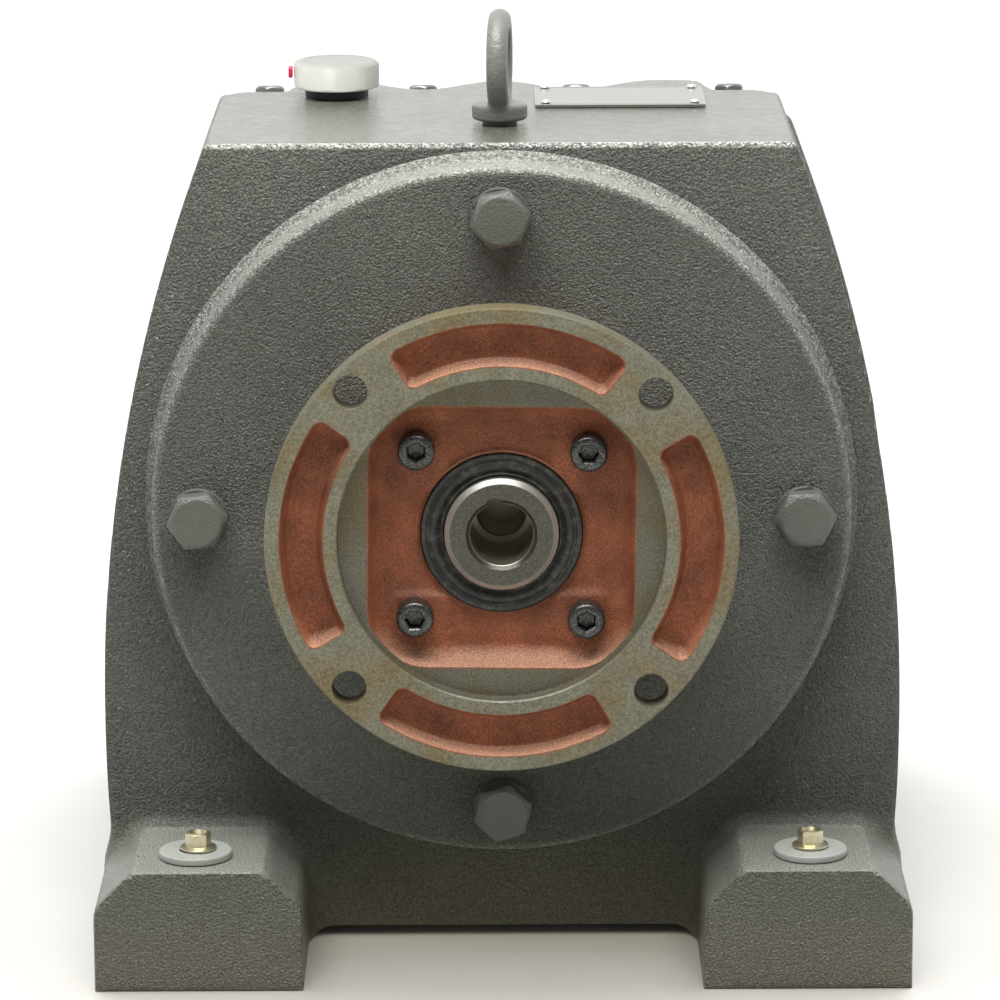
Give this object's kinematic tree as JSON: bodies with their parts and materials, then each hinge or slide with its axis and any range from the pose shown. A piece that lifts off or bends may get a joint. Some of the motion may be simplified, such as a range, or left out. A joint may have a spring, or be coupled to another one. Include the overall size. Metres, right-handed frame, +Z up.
{
  "type": "industrial gearbox",
  "caption": "Foot-mounted in-line helical gearbox with a C-face motor flange, hollow keyed input and keyed output shaft.",
  "frame": {"origin": "on the ground under the feet, midway across the width and midway along the length", "axes": "+Y along the shafts from the motor flange to the output shaft, +X to the right when facing the motor flange, +Z up"},
  "size_m": [0.29, 0.412, 0.3356],
  "materials": {
    "case_paint": "dark grey-green enamel over a rough casting, semi-gloss",
    "machined_flange": "turned, oiled, slightly tarnished",
    "bolt_paint": "steel painted over with the case",
    "bolt_steel": "dull steel",
    "black_screw": "black oxide",
    "seal_rubber": "moulded nitrile",
    "bright_steel": "ground",
    "zinc_yellow": "yellow zinc",
    "washer_paint": "light grey paint",
    "white_plastic": "moulded, off-white",
    "red_plastic": "moulded, red",
    "black_plastic": "moulded, black",
    "plate_aluminium": "satin sheet",
    "gasket_fibre": "pressed fibre"
  },
  "bodies": {
    "housing": {"breather_cap": "white_plastic", "breather_neck": "black_plastic", "breather_tab": "red_plastic", "cover_bolt_1": "bolt_paint", "cover_bolt_2": "bolt_paint", "cover_bolt_3": "bolt_paint", "cover_bolt_4": "bolt_paint", "cover_lock_washer_1": "bolt_paint", "cover_lock_washer_2": "bolt_paint", "cover_lock_washer_3": "bolt_paint", "cover_lock_washer_4": "bolt_paint", "eyebolt": "case_paint", "flange_screw_1": "black_screw", "flange_screw_2": "black_screw", "flange_screw_3": "black_screw", "flange_screw_4": "black_screw", "foot_bolt_left": "zinc_yellow", "foot_bolt_right": "zinc_yellow", "foot_washer_left": "washer_paint", "foot_washer_right": "washer_paint", "gear_case": "case_paint", "input_bearing_front": "bright_steel", "input_bearing_rear": "bright_steel", "input_cover": "case_paint", "input_seal": "seal_rubber", "inspection_cover": "case_paint", "inspection_gasket": "gasket_fibre", "inspection_screw_1": "bolt_steel", "inspection_screw_2": "bolt_steel", "inspection_screw_3": "bolt_steel", "inspection_screw_4": "bolt_steel", "inspection_screw_5": "bolt_steel", "inspection_screw_6": "bolt_steel", "inspection_screw_7": "bolt_steel", "inspection_screw_8": "bolt_steel", "lay_bearing_front": "bright_steel", "lay_bearing_rear": "bright_steel", "motor_flange": "machined_flange", "nameplate": "plate_aluminium", "nameplate_rivet_1": "plate_aluminium", "nameplate_rivet_2": "plate_aluminium", "nameplate_rivet_3": "plate_aluminium", "nameplate_rivet_4": "plate_aluminium", "oil_drain_plug": "bolt_steel", "oil_level_plug": "bolt_steel", "output_bearing_inner": "bright_steel", "output_bearing_outer": "bright_steel", "output_cover": "case_paint", "output_cover_bolt_1": "bolt_steel", "output_cover_bolt_2": "bolt_steel", "output_cover_bolt_3": "bolt_steel", "output_cover_bolt_4": "bolt_steel", "output_seal": "seal_rubber"},
    "input": {"input_quill": "bright_steel"},
    "lay": {"lay_gear": "bright_steel", "lay_shaft": "bright_steel"},
    "output": {"output_gear": "bright_steel", "output_shaft": "bright_steel", "output_key": "bright_steel"}
  },
  "joints": [
    {"name": "output_turn", "type": "hinge", "parent": "housing", "child": "output", "pos_m": [0, 0.094, 0.164], "axis": [0, 1, 0], "continuous": true},
    {"name": "lay_turn", "type": "hinge", "parent": "housing", "child": "lay", "pos_m": [0, -0.07, 0.084], "axis": [0, 1, 0], "continuous": true},
    {"name": "input_turn", "type": "hinge", "parent": "housing", "child": "input", "pos_m": [0, -0.1954, 0.164], "axis": [0, 1, 0], "continuous": true}
  ],
  "couplings": [
    {"joint": "lay_turn", "follows": "output_turn", "ratio": -3.5714},
    {"joint": "input_turn", "follows": "output_turn", "ratio": 10.714}
  ]
}
